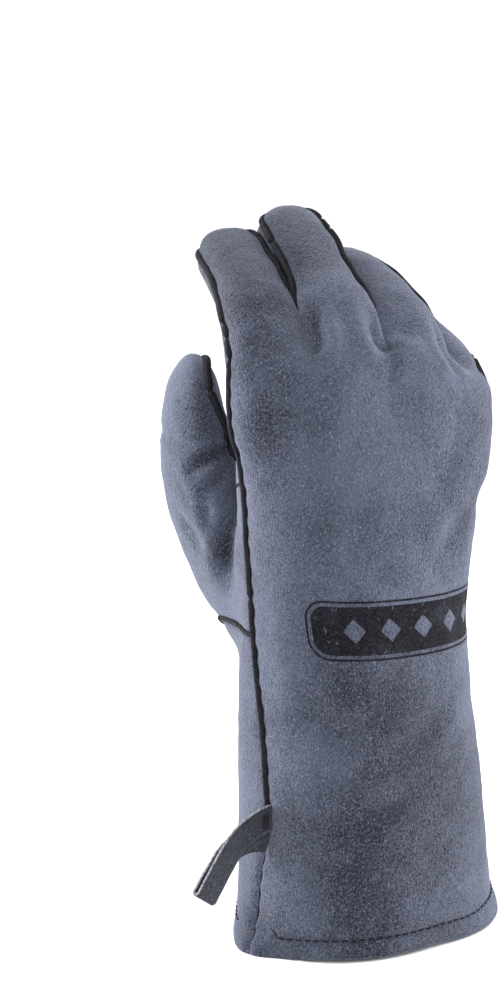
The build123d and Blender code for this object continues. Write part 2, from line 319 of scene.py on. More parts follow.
def thumb_line():
    """The thumb's centre line, from deep in the palm heel up to its tip."""
    hinge = rest_hinge("thumb_knuckle")
    spots = [-80.0, -40.0, -20.0, 0.0, 20.0, 36.0, 54.0, 73.0]
    sideways = [31.0, 15.0, 7.5, 3.0, 0.5, 0.5, 1.5, 3.5]
    t = np.arange(spots[0], spots[-1] + 0.1, 2.5)
    x = np.interp(t, spots, sideways)
    x = np.convolve(np.pad(x, 3, mode="edge"), np.ones(7) / 7, mode="valid")
    return hinge + x[:, None] * ACROSS + t[:, None] * THUMB_AXIS


line = thumb_line()
end = float(np.linalg.norm(np.diff(line, axis=0), axis=1).sum())
spots = np.array([0.0, 35.0, 62.0, 95.0, end - 36.0, end - 22.0, end - 9.0, end])
DIGITS["thumb"] = Digit(
    line, ACROSS,
    (spots, np.array([8.0, 12.5, 15.0, 15.4, 14.0, 11.5, 8.5, 6.0])),
    (spots, np.array([12.0, 18.0, 21.5, 22.5, 22.5, 21.5, 18.5, 15.0])), 17.0)
BODY_PLANES["thumb"] = (rest_hinge("thumb_knuckle") + THUMB_BODY_START * THUMB_AXIS, THUMB_AXIS)


def beyond_plane(points, body):
    """How far points lie past the plane where the leather starts to follow a digit."""
    start, direction = BODY_PLANES[body]
    return (points - start) @ direction


def palm_distance(points):
    """Signed distance from the outside of the hand and the thumb's root, in millimetres."""
    hand = hand_distance(points)
    beyond = beyond_plane(points, "thumb")
    stump = smooth_max(DIGITS["thumb"].distance(points), beyond - STUMP_END, STUMP_ROUND)
    width = THUMB_MIN_BLEND + THUMB_BLEND * (1 - smooth_step(beyond, *THUMB_FADE))
    return smooth_min(hand, stump, width)


def finger_distance(finger):
    """The distance from one finger and the hand that it grows from."""
    def distance(points):
        return smooth_min(palm_distance(points), DIGITS[finger].distance(points), FINGER_BLEND)
    return distance


def surface_distance(points):
    """Signed distance from the hand, the thumb's root and all four fingers."""
    base = palm_distance(points)
    out = base
    for finger in FINGERS:
        out = np.minimum(out, smooth_min(base, DIGITS[finger].distance(points), FINGER_BLEND))
    return out


def thumb_distance(points):
    return DIGITS["thumb"].distance(points)


def whole_distance(points):
    return np.minimum(surface_distance(points), thumb_distance(points))


def slopes(distance, points, step=0.4):
    """Unit normals of a distance field, by central differences."""
    out = np.zeros_like(points)
    for axis in range(3):
        shift = np.zeros(3)
        shift[axis] = step
        out[:, axis] = distance(points + shift) - distance(points - shift)
    length = np.linalg.norm(out, axis=1, keepdims=True) + 1e-9
    return out / length, length[:, 0] / (2 * step)


def settle(distance, points, level, rounds=3):
    """Move points onto the surface that lies at a level of the distance field."""
    for _ in range(rounds):
        normal, slope = slopes(distance, points)
        gap = distance(points) - level
        points = points - normal * np.clip(gap / np.maximum(slope, 0.3), -2, 2)[:, None]
    return points


def surface_net(distance, cell, level, low, high):
    """Quads round the surface at a level, by joining a point in each grid cell it crosses."""
    counts = np.ceil((high - low) / cell).astype(int)
    axes = [low[k] + cell * np.arange(counts[k]) for k in range(3)]
    values = np.empty(counts)
    for k, z in enumerate(axes[2]):
        grid = np.stack(np.meshgrid(axes[0], axes[1], [z], indexing="ij"), axis=-1)
        values[:, :, k] = (distance(grid.reshape(-1, 3)) - level).reshape(counts[:2])
    inside = values < 0
    total = np.zeros(counts - 1)
    place = np.zeros((*(counts - 1), 3))
    corner = np.stack(np.meshgrid(*[np.arange(c - 1) for c in counts], indexing="ij"), axis=-1)
    for axis in range(3):
        others = [k for k in range(3) if k != axis]
        for a in (0, 1):
            for b in (0, 1):
                start = [0, 0, 0]
                start[others[0]], start[others[1]] = a, b
                stop = list(start)
                stop[axis] = 1
                first = tuple(slice(s, counts[k] - 1 + s) for k, s in enumerate(start))
                second = tuple(slice(s, counts[k] - 1 + s) for k, s in enumerate(stop))
                v0, v1 = values[first], values[second]
                crossed = (v0 < 0) != (v1 < 0)
                share = np.where(crossed, v0 / np.where(crossed, v0 - v1, 1), 0)
                total += crossed
                for k in range(3):
                    offset = start[k] + (share if k == axis else 0)
                    place[..., k] += np.where(crossed, corner[..., k] + offset, 0)
    used = total > 0
    index = np.full(used.shape, -1)
    index[used] = np.arange(used.sum())
    verts = low + cell * place[used] / total[used][:, None]
    quads = []
    for axis in range(3):
        u, v = [(axis + 1) % 3, (axis + 2) % 3]
        first = [slice(1, -1)] * 3
        first[axis] = slice(0, -1)
        second = list(first)
        second[axis] = slice(1, None)
        a, b = inside[tuple(first)], inside[tuple(second)]
        for flip, mask in ((False, a & ~b), (True, ~a & b)):
            cells = np.argwhere(mask)
            cells[:, u] += 1
            cells[:, v] += 1
            around = []
            for du, dv in ((1, 1), (0, 1), (0, 0), (1, 0)):
                shifted = cells.copy()
                shifted[:, u] -= du
                shifted[:, v] -= dv
                around.append(index[tuple(shifted.T)])
            quad = np.stack(around, axis=1)
            quads.append(quad[:, ::-1] if flip else quad)
    return settle(distance, verts, level), np.concatenate(quads)


# ---------------------------------------------------------------- seams, as fields that are 0 on them
WRIST = 128.0
PALM_SEAM = 222.0
HEM_HEIGHT = 8.5
LINING_EDGE = HEM_HEIGHT - 1.5    # the lining starts this far above the cuff's cut edge
GUSSET_SHARE = 0.66           # the gusset covers a finger's side beyond this share of its half width
HEM_ROW = 7.5                 # the hem's row of stitches, above its edge
LOOSE_THREAD = np.array([-46.0, -26.0, 9.0])    # near here the row ends in a loose thread
HEM_CORNER = 2.98             # the angle round the cuff at which the hem's corner curls out
HEM_SIDE = -0.72              # and the angle of a weaker curl, on the little finger's side
CORNER_CURL = np.array([-6.0, -10.2, 0.0])      # how far the cut edge is carried at the corner
SIDE_CURL = np.array([1.2, -4.6, 0.0])
CURL_TOP = 17.0               # the curl has died out this far up the cuff
BADGE_MIDDLE = 144.5          # height of the badge's middle
BADGE_MIDDLE_ANGLE = 10.5     # from the middle of the back towards the little finger's side
BADGE_REACH = 0.82            # millimetres to a degree round the back of the cuff
BADGE_TILT = 0.07             # it runs a little downhill towards the little finger's side
BADGE_HALF_LENGTH = 49.5
BADGE_HALF_HEIGHT = 13.0
BADGE_CORNER = 9.0            # radius of its corners
BADGE_RIM = 0.9               # width of its outer line
BADGE_INNER = 2.5             # from its edge to the filled patch, past a bare line
BADGE_PITCH = 15.0            # from one diamond to the next
DIAMOND = (4.6, 5.4)          # half width and half height


def near_turn(points, turn, width):
    """1 at an angle round the cuff, fading on both sides of it."""
    across, deep, _, _ = tube_frame(points)
    apart = np.abs(np.arctan2(deep, across) - turn)
    apart = np.minimum(apart, 2 * pi - apart)
    return np.exp(-((apart / width) ** 2))


def hem_curl(points):
    """How the cuff's end curls: out at the corner by the loop, a little on the other side."""
    low = 1 - smooth_step(points[:, 2], 0.0, CURL_TOP)
    corner = near_turn(points, HEM_CORNER, 0.34) * low
    other = near_turn(points, HEM_SIDE, 0.5) * low
    return corner[:, None] * CORNER_CURL + other[:, None] * SIDE_CURL


def hem_height(points):
    """Height of the cuff's cut edge: up on the little finger's side, down at the curled corner."""
    across, deep, half_width, _ = tube_frame(points)
    turn = np.arctan2(deep, across)
    rise = smooth_step(across / half_width, 0.25, 1.05)
    corner = 1.8 * near_turn(points, HEM_CORNER, 0.3)
    return 2.3 + rise - corner + 0.5 * np.sin(3 * turn + 1.0) + 0.35 * np.sin(7 * turn)


def nearest_finger(points):
    """Number of the finger whose hinge is nearest in X, for each point."""
    centres = np.array([rest_hinge(f + "_knuckle")[0] for f in FINGERS])
    return np.abs(points[:, :1] - centres).argmin(axis=1)


# How far each finger's seam is drawn to its back, on the thumb's side and on the other
SEAM_TO_BACK = {
    "index": (0.0, 9.0), "middle": (5.0, 8.0), "ring": (3.0, 6.5), "little": (4.0, 0.0),
}
SEAM_BASE = 1.5               # every finger's seam lies at least this far to its back
LITTLE_SEAM = 9.0             # the little finger's outer seam is drawn to its palm side instead
FINGER_START = 215.0          # no finger's leather lies lower than this
# Where the thumb's seam lies across it, at distances along its centre line
THUMB_SEAM = ((95.0, 113.0, 126.0, 138.0, 147.0, 158.0), (11.0, 9.5, 5.5, 1.5, 1.5, 6.0))
# How far the seam on the thumb's side lies towards the back, at heights up the cuff
SEAM_DRIFT = ((0.0, 25.0, 38.0, 52.0, 72.0, 90.0, 104.0, 128.0, 190.0),
              (-4.0, -2.0, 0.5, 4.5, 4.8, 4.0, 2.5, 1.5, 0.0))
PALM_SLOPE = 0.12             # the palm seam climbs towards the little finger
ROOT_REACH = 36.0             # the thumb's root panel reaches the seam on the thumb's side
ROOT_BELOW_WRIST = 3.0        # and it may run on this far below the wrist seam
WRIST_RISE = 12.0             # the wrist seam climbs this far to the seam on the thumb's side


def seam_fields(points, owner=None):
    """Distances from every cut between the leather's pieces, each 0 on its cut.

    The points are all on one finger if owner names it; otherwise each belongs to the nearest.
    """
    across, deep, half_width, _ = tube_frame(points)
    height = points[:, 2]
    share = across / half_width
    side = deep + np.interp(height, *SEAM_DRIFT) * smooth_step(-share, 0.2, 0.8)
    body = np.full(len(points), -FAR)
    gusset = np.full(len(points), -FAR)
    nearest = nearest_finger(points)
    for k, finger in enumerate(FINGERS):
        mine = (nearest == k) & (height > FINGER_START)
        if owner is not None:
            mine = np.full(len(points), owner == finger)
        beyond = beyond_plane(points[mine], finger)
        body[mine] = beyond
        digit = DIGITS[finger]
        along, x, y, _ = digit.locate(points[mine])
        blend = smooth_step(beyond, -16, 10)
        thumbward, outward = SEAM_TO_BACK[finger]
        towards_back = thumbward * smooth_step(-x, 2, 8) + outward * smooth_step(x, 2, 8)
        towards_back = SEAM_BASE + towards_back * smooth_step(along, FINGER_BACK + 2, FINGER_BACK + 24)
        if finger == "little":
            towards_back = towards_back - LITTLE_SEAM * smooth_step(x, 2, 8)
        side[mine] = (1 - blend) * side[mine] + blend * (y + towards_back)
        half = np.interp(along, *digit.half_x)
        sides = np.where(x > 0, finger != "little", finger != "index")
        gusset[mine] = np.where(sides, np.abs(x) - GUSSET_SHARE * half, -FAR)
    thumb = DIGITS["thumb"]
    wrist = height - WRIST - WRIST_RISE * smooth_step(-share, 0.52, 1.0)
    past_thumb = beyond_plane(points, "thumb")
    beside = np.minimum(ROOT_REACH - side, -40.0 * (share + 0.4))
    beside = np.minimum(beside, -1.0 - past_thumb)
    root = hand_distance(points) - thumb.distance(points)
    root = np.minimum(root, wrist + ROOT_BELOW_WRIST)
    side = np.where(height < 250, np.maximum(side, root), side)
    root = np.maximum(root, np.minimum(beside, wrist + ROOT_BELOW_WRIST))
    along, x, _, _ = thumb.locate(points)
    return {
        "hem": height - hem_height(points),
        "row": height - hem_height(points) - HEM_ROW,
        "side": side,
        "wrist": wrist,
        "palm": height - PALM_SEAM - PALM_SLOPE * (points[:, 0] - RIM_POINT[0]),
        "finger": body,
        "root": root,
        "thumb": past_thumb,
        "outer": x - np.interp(along, *THUMB_SEAM),
        "gusset": gusset,
    }


def print_fields(points):
    """The print on the back of the cuff: a plain patch with a border, and diamonds left bare."""
    across, deep, half_width, half_depth = tube_frame(points)
    turn = np.degrees(np.arctan2(across / half_width, -deep / half_depth))
    x = (turn - BADGE_MIDDLE_ANGLE) * BADGE_REACH
    z = points[:, 2] - BADGE_MIDDLE + BADGE_TILT * x
    over_x = np.maximum(np.abs(x) - BADGE_HALF_LENGTH + BADGE_CORNER, 0)
    over_z = np.maximum(np.abs(z) - BADGE_HALF_HEIGHT + BADGE_CORNER, 0)
    patch = np.hypot(over_x, over_z) - BADGE_CORNER
    patch = np.where(deep < 10, patch, FAR)
    spot = np.abs((x + BADGE_PITCH / 2) % BADGE_PITCH - BADGE_PITCH / 2)
    diamond = np.abs(spot / DIAMOND[0]) + np.abs(z / DIAMOND[1]) - 1
    inside_row = np.abs(x) < BADGE_HALF_LENGTH - BADGE_PITCH / 2
    marks = np.where(inside_row, diamond * DIAMOND[0], FAR)
    return {
        "edge": patch, "rim": patch + BADGE_RIM, "inner": patch + BADGE_INNER, "marks": marks,
    }


def folds():
    """Creases in the leather, as (start, end, depth, width), in millimetres."""
    knuckles = {name: rest_hinge(name + "_knuckle") for name in FINGERS}
    thumb = rest_hinge("thumb_knuckle")
    index_middle = (knuckles["index"] + knuckles["middle"]) / 2
    middle_ring = (knuckles["middle"] + knuckles["ring"]) / 2
    ring_little = (knuckles["ring"] + knuckles["little"]) / 2
    return [
        (index_middle + (-3.5, -26, 3), index_middle + (-5, -10, 24), 3.0, 3.2),
        (index_middle + (1.5, -25, 8), index_middle + (1, -12, 24), 1.2, 2.2),
        (middle_ring + (1.5, -26, 0), middle_ring + (-1, -12, 18), 2.6, 3.2),
        (middle_ring + (6.5, -24, 2), middle_ring + (4, -12, 16), 0.9, 2.2),
        (ring_little + (4, -26, -12), ring_little + (-2, -10, 10), 2.4, 3.0),
        (thumb + (10, -8, 34), thumb + (-7, -8, 24), 3.2, 3.0),
        (thumb + (10, -10, 31), thumb + (-3, -10, 15), 2.2, 2.6),
        (thumb + (3, -20, -1), thumb + (4, -26, -18), 3.4, 4.2),
        (thumb + (-6, -16, 12), thumb + (-5, -20, 0), 1.4, 2.6),
        (thumb + (-12, -2, 4), thumb + (-2, -20, -12), 1.1, 3.0),
        (np.array([-25.0, -42.0, 60.0]), np.array([10.0, -47.0, 72.0]), 1.1, 5.0),
        (np.array([10.0, -46.0, 92.0]), np.array([50.0, -22.0, 118.0]), 1.2, 5.5),
        (np.array([30.0, -40.0, 170.0]), np.array([52.0, -14.0, 196.0]), 1.3, 5.0),
        (np.array([-40.0, -34.0, 118.0]), np.array([-20.0, -42.0, 98.0]), 1.0, 4.5),
    ]


def laid_folds():
    """The same creases as points a step apart, moved onto the surface."""
    out = []
    for start, end, depth, width in folds():
        count = max(4, int(np.linalg.norm(end - start) / 1.5))
        line = start + (end - start) * np.linspace(0, 1, count)[:, None]
        out.append((settle(whole_distance, line, 0.0, 9), depth, width))
    return out


FOLDS = laid_folds()
# Soft waves of the whole surface, as (height, size, seed)
WAVES = ((0.9, 34.0, 3.1), (0.45, 13.0, 7.7), (0.16, 5.0, 1.3))
PUCKER_PITCH = 8.5            # the leather gathers at this pitch along the side seams
PUCKER = 0.3


def crease(points, line, depth, width):
    """Depth of one crease at each point: a valley that fades out at both its ends."""
    out = np.zeros(len(points))
    near = np.flatnonzero(np.linalg.norm(points - line.mean(axis=0), axis=1) < 60)
    gap = np.full(len(near), FAR)
    share = np.zeros(len(near))
    for k, place in enumerate(line):
        distance = np.linalg.norm(points[near] - place, axis=1)
        closer = distance < gap
        gap[closer] = distance[closer]
        share[closer] = k / (len(line) - 1)
    valley = np.exp(-((gap / width) ** 2)) - 0.4 * np.exp(-(((gap - 2.2 * width) / width) ** 2))
    out[near] = depth * valley * (0.35 + 0.65 * np.sin(pi * share))
    return out


def creases(points):
    """Depth of all the creases together."""
    return sum(crease(points, *fold) for fold in FOLDS)


def waviness(points, size, seed):
    """Smooth noise between -1 and 1, with bumps of about one size."""
    scaled = points / size + seed
    return np.array([noise.noise(Vector(p)) for p in scaled])


def relief(points, fields, hollow):
    """How far the leather lies out from the plain surface: soft waves, creases and sewn seams."""
    out = sum(height * waviness(points, size, seed) for height, size, seed in WAVES)
    out -= hollow
    palm_side = smooth_step(fields["side"], -1.0, 1.0)
    hand = 1 - smooth_step(fields["finger"], -6, 0)

    def groove(distance, depth, width):
        return depth * np.exp(-((distance / width) ** 2))

    out -= groove(fields["side"], SEAM_GROOVE, SEAM_GROOVE_WIDTH)
    out -= groove(fields["wrist"], SEAM_GROOVE, SEAM_GROOVE_WIDTH) * palm_side
    out -= groove(fields["palm"], SEAM_GROOVE, SEAM_GROOVE_WIDTH) * palm_side * hand
    out -= groove(fields["gusset"], 0.6, 1.8) * palm_side * (1 - hand)
    out -= groove(fields["row"], 0.5, 1.6)
    out += groove(fields["row"] + 4.0, 0.5, 3.0)
    below_loop = 1 - smooth_step(points[:, 2], 50, 60)
    out -= groove(fields["side"], 0.9, 1.3) * below_loop
    out += PUCKER * np.sin(points[:, 2] * 2 * pi / PUCKER_PITCH) * groove(fields["side"], 1.0, 5.0)
    return out


class Skin:
    """A surface that has been cut along every seam, as points, faces and the fields at its points."""

    def __init__(self, distance, cell, level, low, high, names, owner=None):
        points, quads = surface_net(distance, cell, level, low, high)
        self.names = names
        self.cut(points, quads, self.all_fields(points, owner))
        self.measure()
        self.hollow = creases(self.points)
        height = relief(self.points, seam_fields(self.points, owner), self.hollow)
        self.points += height[:, None] * self.normal + hem_curl(self.points)
        self.measure()

    def all_fields(self, points, owner):
        return seam_fields(points, owner)

    def cut(self, points, quads, fields):
        """Cut the faces along each field's 0, by laying the field out along X for the cutting."""
        mesh = bpy.data.meshes.new("cutting")
        mesh.from_pydata(points.tolist(), [], quads.tolist())
        bm = bmesh.new()
        bm.from_mesh(mesh)
        bpy.data.meshes.remove(mesh)
        place = bm.verts.layers.float_vector.new("place")
        layers = {name: bm.verts.layers.float.new(name) for name in self.names}
        columns = {name: fields[name].tolist() for name in self.names}
        for k, vert in enumerate(bm.verts):
            vert[place] = vert.co
            for name in self.names:
                vert[layers[name]] = columns[name][k]
        for name in self.names:
            layer = layers[name]
            for vert in bm.verts:
                vert.co = (vert[layer], vert[place][1], vert[place][2])
            everything = bm.verts[:] + bm.edges[:] + bm.faces[:]
            bmesh.ops.bisect_plane(
                bm, geom=everything, dist=0.02, plane_co=(0, 0, 0), plane_no=(1, 0, 0)
            )
        bm.verts.index_update()
        self.points = np.array([vert[place][:] for vert in bm.verts])
        self.fields = {
            name: np.array([vert[layer] for vert in bm.verts]) for name, layer in layers.items()
        }
        self.faces = [[vert.index for vert in face.verts] for face in bm.faces]
        bm.free()
        middle = {
            name: np.array([values[face].mean() for face in self.faces])
            for name, values in self.fields.items()
        }
        self.middle = middle
        self.centre = np.array([self.points[face].mean(axis=0) for face in self.faces])
        self.keep = middle["hem"] > 0 if "hem" in middle else np.ones(len(self.faces), bool)

    def measure(self):
        """Normals at the points, shared by every piece so that no seam shows in the shading."""
        normal = np.zeros_like(self.points)
        for size in range(3, 9):
            group = np.array([face for face in self.faces if len(face) == size])
            if not len(group):
                continue
            corners = self.points[group]
            area = np.zeros((len(group), 3))
            for k in range(1, size - 1):
                area += np.cross(corners[:, k] - corners[:, 0], corners[:, k + 1] - corners[:, 0])
            for k in range(size):
                np.add.at(normal, group[:, k], area)
        self.normal = unit(normal)

    def where(self, mask):
        """The faces that mask picks, above the cuff's cut edge."""
        return [self.faces[k] for k in np.flatnonzero(mask & self.keep)]


def new_object(name, points, faces, materials, normals=None, slots=None):
    """A piece from points in millimetres, with its rest shape kept for the materials."""
    mesh = bpy.data.meshes.new(name)
    mesh.from_pydata((np.asarray(points) * MM).tolist(), [], faces)
    for material in materials:
        mesh.materials.append(material)
    mesh.polygons.foreach_set("use_smooth", [True] * len(mesh.polygons))
    if slots is not None:
        mesh.polygons.foreach_set("material_index", slots)
    mesh.update()
    rest = mesh.attributes.new("rest", "FLOAT_VECTOR", "POINT")
    rest.data.foreach_set("vector", (np.asarray(points) * MM).astype(np.float32).ravel())
    if normals is not None:
        mesh.normals_split_custom_set(normals)
    piece = bpy.data.objects.new(name, mesh)
    bpy.context.scene.collection.objects.link(piece)
    return piece


def shell(name, skin, faces, outside, inside, materials):
    """A closed piece of sheet between two depths below the skin, over some of its faces."""
    used = sorted({k for face in faces for k in face})
    index = {k: n for n, k in enumerate(used)}
    count = len(used)
    points = skin.points[used]
    normal = skin.normal[used]
    top = [[index[k] for k in face] for face in faces]
    ends = {}
    for face in top:
        for a, b in zip(face, face[1:] + face[:1]):
            if (b, a) in ends:
                del ends[(b, a)]
            else:
                ends[(a, b)] = True
    under = [[k + count for k in face[::-1]] for face in top]
    rim = [[b, a, a + count, b + count] for a, b in ends]
    both = np.concatenate([points - outside * normal, points - inside * normal])
    loops = []
    for group, sign in ((top, 1.0), (under, -1.0)):
        for face in group:
            loops += [tuple(sign * normal[k % count]) for k in face]
    loops += [(0.0, 0.0, 0.0)] * (4 * len(rim))
    slots = [0] * (len(top) + len(under) + len(rim))
    if len(materials) > 1:
        slots = [0] * len(top) + [1] * (len(under) + len(rim))
    piece = new_object(name, both, top + under + rim, materials, normals=loops, slots=slots)
    # the crease depth goes with the piece, for the painted shade in the creases
    hollow = piece.data.attributes.new("hollow", "FLOAT", "POINT")
    hollow.data.foreach_set("value", np.tile(skin.hollow[used], 2).astype(np.float32))
    return piece


def chains(pairs):
    """Join pairs of points end to end into runs."""
    links = {}
    for a, b in pairs:
        links.setdefault(a, set()).add(b)
        links.setdefault(b, set()).add(a)
    runs = []
    starts = [k for k in sorted(links) if len(links[k]) != 2]
    for start in starts + sorted(links):
        while links.get(start):
            run = [start]
            here = start
            while links.get(here):
                there = min(links[here])
                links[here].discard(there)
                links[there].discard(here)
                run.append(there)
                here = there
                if len(links.get(here, ())) > 1:
                    break
            runs.append(run)
    return runs


def seam_runs(skin, name, mask, shortest=6.0):
    """Runs of points along the cut where a field is 0, between faces that mask accepts."""
    zero = np.abs(skin.fields[name]) < 0.03
    pairs = set()
    for k in np.flatnonzero(mask & skin.keep):
        face = skin.faces[k]
        for a, b in zip(face, face[1:] + face[:1]):
            if zero[a] and zero[b]:
                pairs.add((min(a, b), max(a, b)))
    runs = []
    for run in chains(sorted(pairs)):
        length = np.linalg.norm(np.diff(skin.points[run], axis=0), axis=1).sum()
        if length >= shortest:
            runs.append(run)
    return runs


def even_steps(line, step):
    """The same run with its points spread evenly, about a step apart."""
    lengths = np.concatenate([[0], np.cumsum(np.linalg.norm(np.diff(line[:, :3], axis=0), axis=1))])
    count = max(4, int(lengths[-1] / step) + 1)
    spots = np.linspace(0, lengths[-1], count)
    return np.stack([np.interp(spots, lengths, line[:, k]) for k in range(line.shape[1])], axis=1)


def resample(line, step):
    """Points at even steps along a run, with its zigzags smoothed away."""
    line = np.array(line)
    closed = np.linalg.norm(line[0] - line[-1]) < 1e-6
    line = even_steps(line, 1.0)
    for _ in range(14):
        middle = 0.25 * line[:-2] + 0.5 * line[1:-1] + 0.25 * line[2:]
        ends = (line[:1], line[-1:])
        if closed:
            seam = 0.25 * line[-2:-1] + 0.5 * line[:1] + 0.25 * line[1:2]
            ends = (seam, seam)
        line = np.concatenate([ends[0], middle, ends[1]])
    return even_steps(line, step)


def tube_faces(rings, sides):
    """Faces of a closed tube: its sides ring by ring, then a cap at each end."""
    faces = []
    for n in range(rings - 1):
        for k in range(sides):
            a, b = n * sides + k, n * sides + (k + 1) % sides
            faces.append([a, b, b + sides, a + sides])
    faces.append(list(range(sides))[::-1])
    faces.append([(rings - 1) * sides + k for k in range(sides)])
    return faces


def tube(points, up, half_width, half_height, sides=10):
    """Points and faces of a closed tube along a run, a little narrower at its two ends."""
    tangent = unit(np.gradient(points, axis=0))
    side = unit(np.cross(tangent, up))
    high = np.cross(side, tangent)
    count = len(points)
    size = np.ones((count, 1))
    size[0] = 0.45
    size[-1] = 0.45
    verts = []
    for k in range(sides):
        angle = 2 * pi * k / sides
        offset = half_width * cos(angle) * side + half_height * sin(angle) * high
        verts.append(points + size * offset)
    verts = np.stack(verts, axis=1).reshape(-1, 3)
    return verts, [face[::-1] for face in tube_faces(count, sides)]


def join_meshes(parts):
    """Several lists of points and faces as one."""
    points, faces = [], []
    start = 0
    for verts, polygons in parts:
        points.append(verts)
        faces += [[k + start for k in face] for face in polygons]
        start += len(verts)
    return np.concatenate(points), faces


def surface_line(skin, run, step):
    """Points at even steps along a run on a skin, with the skin's normals beside them."""
    return resample(np.concatenate([skin.points[run], skin.normal[run]], axis=1), step)


def welt(name, skin, runs, material, radius=WELT_RADIUS, sink=0.1):
    """Piping along seams: a bead half sunk in the leather."""
    parts = []
    for run in runs:
        line = surface_line(skin, run, 1.8)
        up = unit(line[:, 3:])
        wave = np.array([noise.noise(Vector(p / 9.0)) for p in line[:, :3]])
        centre = line[:, :3] + up * (radius * 0.2 - sink + 0.25 * wave)[:, None]
        parts.append(tube(centre, up, radius, radius * 1.15))
    points, faces = join_meshes(parts)
    return new_object(name, points, faces, [material])


# ---------------------------------------------------------------- materials
class Paint:
    """A material and its nodes, with short calls for the few kinds of node used here."""

    def __init__(self, name):
        self.material = bpy.data.materials.new(name)
        self.material.use_nodes = True
        self.nodes = self.material.node_tree.nodes
        self.nodes.clear()
        self.shader = self.add("BsdfPrincipled")
        self.add("OutputMaterial", {"Surface": self.shader.outputs["BSDF"]})

    def add(self, kind, inputs=None):
        node = self.nodes.new("ShaderNode" + kind)
        self.feed(node, inputs or {})
        return node

    def feed(self, node, inputs):
        """Link each named input to another node's output, or set it to a plain value."""
        for name, value in inputs.items():
            socket = node.inputs[name]
            if isinstance(value, bpy.types.NodeSocket):
                self.material.node_tree.links.new(value, socket)
            elif socket.type == "RGBA":
                socket.default_value = (*value, 1.0)
            else:
                socket.default_value = value

    def read(self, attribute):
        """Values stored at the mesh's points; "rest" keeps a pattern on the leather as it bends."""
        node = self.add("Attribute")
        node.attribute_name = attribute
        return node.outputs

    def noise(self, scale, detail=2.0, roughness=0.5, stretch=(1.0, 1.0, 1.0), offset=0.0):
        mapping = self.add("Mapping", {
            "Vector": self.read("rest")["Vector"], "Scale": stretch,
            "Location": (offset, offset * 0.7, offset * 0.4),
        })
        texture = self.add("TexNoise", {
            "Vector": mapping.outputs["Vector"], "Scale": scale, "Detail": detail,
            "Roughness": roughness,
        })
        return texture.outputs["Fac"]

    def ramp(self, value, low, high, start=0.0, end=1.0):
        node = self.add("MapRange", {
            "Value": value, "From Min": low, "From Max": high, "To Min": start, "To Max": end,
        })
        node.interpolation_type = "SMOOTHSTEP"
        return node.outputs["Result"]

    def math(self, operation, a, b):
        node = self.add("Math", {0: a, 1: b})
        node.operation = operation
        return node.outputs["Value"]

    def weighted(self, parts):
        """The sum of several values, each times its own weight."""
        terms = [self.math("MULTIPLY", value, weight) for value, weight in parts]
        total = terms[0]
        for term in terms[1:]:
            total = self.math("ADD", total, term)
        return total

    def mix(self, factor, a, b):
        node = self.add("Mix")
        node.data_type = "RGBA"
        self.feed(node, {"Factor": factor, "A": a, "B": b})
        return node.outputs["Result"]

    def near(self, centre, reach):
        """1 at a point of the glove at rest, falling to 0 at the reach."""
        node = self.add("VectorMath", {0: self.read("rest")["Vector"], 1: centre})
        node.operation = "DISTANCE"
        return self.ramp(node.outputs["Value"], 0.0, reach, 1.0, 0.0)

    def bump(self, height, distance, strength, after=None):
        node = self.add("Bump", {"Height": height, "Distance": distance, "Strength": strength})
        if after is not None:
            self.feed(node, {"Normal": after})
        return node.outputs["Normal"]


HOLLOW_SHADE = 0.16           # painted shade in the creases: the colour is darker by so much for each millimetre of crease depth
BROAD_SHARE, CLOUD_SHARE, GRAIN_SHARE = 0.46, 0.26, 0.58     # what makes the nap light or dark
NAP_STRETCH = (1.0, 1.0, 0.75)    # the nap is drawn out a little up the glove
FIBRE_STRETCH = (1.0, 1.0, 0.5)
FIBRE_SHARE = 0.50
# Patches of painted light and shade, lighter where the glove is lit and darker where it lies in shade:
# centre and reach in metres, and how much
PAINTED_LIGHT_AND_SHADE_ZONES = (
    ((0.000, -0.040, 0.195), 0.060, 0.14),
    ((0.015, -0.050, 0.045), 0.080, -0.52),
    ((0.010, -0.040, 0.105), 0.050, -0.50),
    ((-0.047, 0.040, 0.297), 0.060, -0.85),
    ((-0.044, 0.000, 0.272), 0.042, -0.34),
    ((-0.012, 0.036, 0.306), 0.052, -0.56),
    ((-0.055, 0.030, 0.195), 0.045, 0.10),
    ((0.025, -0.020, 0.245), 0.050, 0.08),
    ((0.060, -0.010, 0.225), 0.050, -0.24),
)


def suede_colour(paint, dark, light, nap):
    """Napped leather: clouds where the nap lies different ways, short pale fibres, patches of painted
    light and shade, and painted shade along the creases.
    """
    broad = paint.ramp(paint.noise(22.0), 0.34, 0.68)
    cloud = paint.ramp(paint.noise(75.0, 3.0, 0.6, offset=3.0), 0.3, 0.72)
    speck = paint.noise(980.0, 3.0, 0.7, NAP_STRETCH, 5.0)
    fine = paint.noise(2100.0, 2.0, 0.6, NAP_STRETCH, 9.0)
    grain = paint.ramp(paint.math("ADD", speck, fine), 0.85, 1.19)
    parts = [(broad, BROAD_SHARE), (cloud, CLOUD_SHARE), (grain, GRAIN_SHARE)]
    # patches of painted light and shade: the colour is lighter or darker where the glove is lit more
    # or less
    parts += [(paint.near(centre, reach), change) for centre, reach, change in PAINTED_LIGHT_AND_SHADE_ZONES]
    # painted shade: the colour darkens along the creases, by their depth
    parts.append((paint.read("hollow")["Fac"], -HOLLOW_SHADE))
    base = paint.mix(paint.weighted(parts), dark, light)
    fibre = paint.noise(2000.0, 1.0, 0.5, FIBRE_STRETCH, 14.0)
    fibre = paint.ramp(fibre, 0.55, 0.74, 0.0, FIBRE_SHARE)
    return paint.mix(fibre, base, nap), grain, cloud


